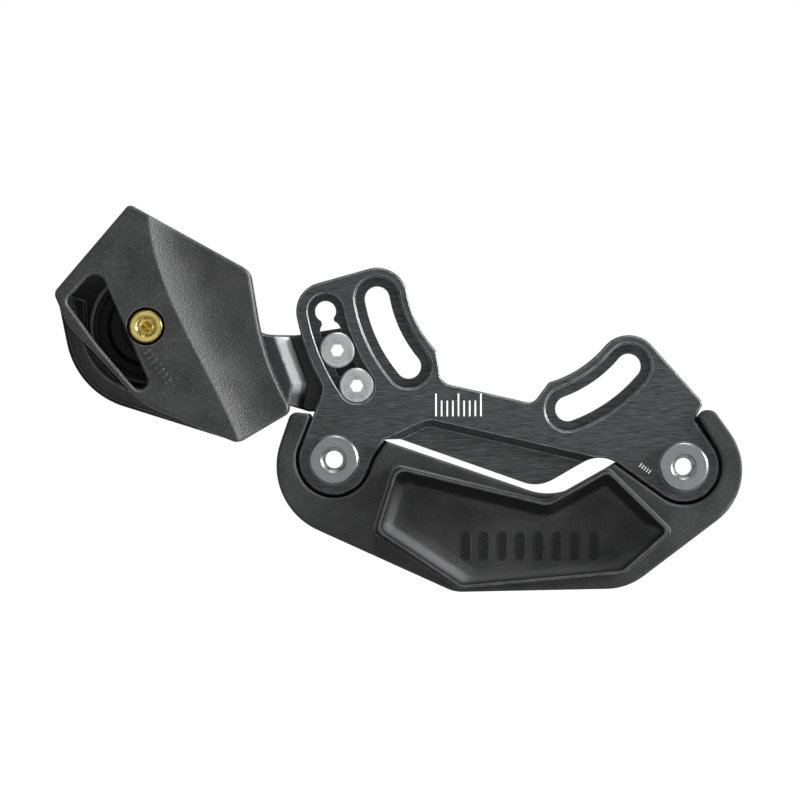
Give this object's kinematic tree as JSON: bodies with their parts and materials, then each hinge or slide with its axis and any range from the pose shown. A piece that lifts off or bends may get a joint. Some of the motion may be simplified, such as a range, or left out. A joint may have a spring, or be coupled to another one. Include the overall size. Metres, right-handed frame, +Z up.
{
  "type": "bicycle chain guide",
  "caption": "Bicycle chain guide with a slotted back plate, a dished skid plate, a stepped arm and a two-part lower guide that holds a chain roller.",
  "frame": {"origin": "on the bottom bracket axis, in the plane of the frame's mounting tabs, which is the back plate's rear face", "axes": "+X forward along the bicycle, +Y inboard along the bottom bracket axis, +Z up at the angle of the picture"},
  "size_m": [0.1734, 0.0315, 0.0974],
  "materials": {
    "plate_black": "black anodised, brushed along X",
    "arm_black": "black anodised, milled, bright on the ramp",
    "guard_plastic": "moulded dark grey nylon, fine grain",
    "cage_plastic": "moulded dark grey nylon, satin",
    "steel_bright": "machined stainless steel",
    "steel_dark": "plated steel",
    "gold_bolt": "gold anodised",
    "axle_alloy": "plain turned aluminium",
    "bearing_steel": "ground bearing steel",
    "retainer_plastic": "natural nylon",
    "hub_plastic": "turned black acetal",
    "tyre_rubber": "soft black polyurethane"
  },
  "bodies": {
    "frame_side": {"back_plate": "plate_black", "bash_guard": "guard_plastic", "bash_bolt_rear": "steel_bright", "bash_bolt_front": "steel_bright", "bash_nut_rear": "steel_dark", "bash_nut_front": "steel_dark", "guide_arm": "arm_black", "arm_bolt_upper": "steel_bright", "arm_bolt_lower": "steel_bright", "cage_inner": "cage_plastic", "cage_outer": "cage_plastic", "cage_bolt": "gold_bolt", "cage_screw_upper": "steel_dark", "cage_screw_lower": "steel_dark", "axle_sleeve": "axle_alloy", "axle_spacer": "axle_alloy", "bearing_inner_race": "bearing_steel"},
    "roller": {"roller_hub": "hub_plastic", "roller_tyre": "tyre_rubber", "bearing_outer_race": "bearing_steel", "bearing_shield_inner": "bearing_steel", "bearing_shield_outer": "bearing_steel"},
    "ball_set": {"bearing_balls": "bearing_steel", "bearing_retainer": "retainer_plastic"}
  },
  "joints": [
    {"name": "roller_spin", "type": "hinge", "parent": "frame_side", "child": "roller", "pos_m": [-0.0937, -0.0165, -0.01365], "axis": [0, 1, 0], "continuous": true},
    {"name": "ball_set_spin", "type": "hinge", "parent": "frame_side", "child": "ball_set", "pos_m": [-0.0937, -0.0165, -0.01365], "axis": [0, 1, 0], "continuous": true}
  ],
  "couplings": [
    {"joint": "ball_set_spin", "follows": "roller_spin", "ratio": 0.6}
  ]
}
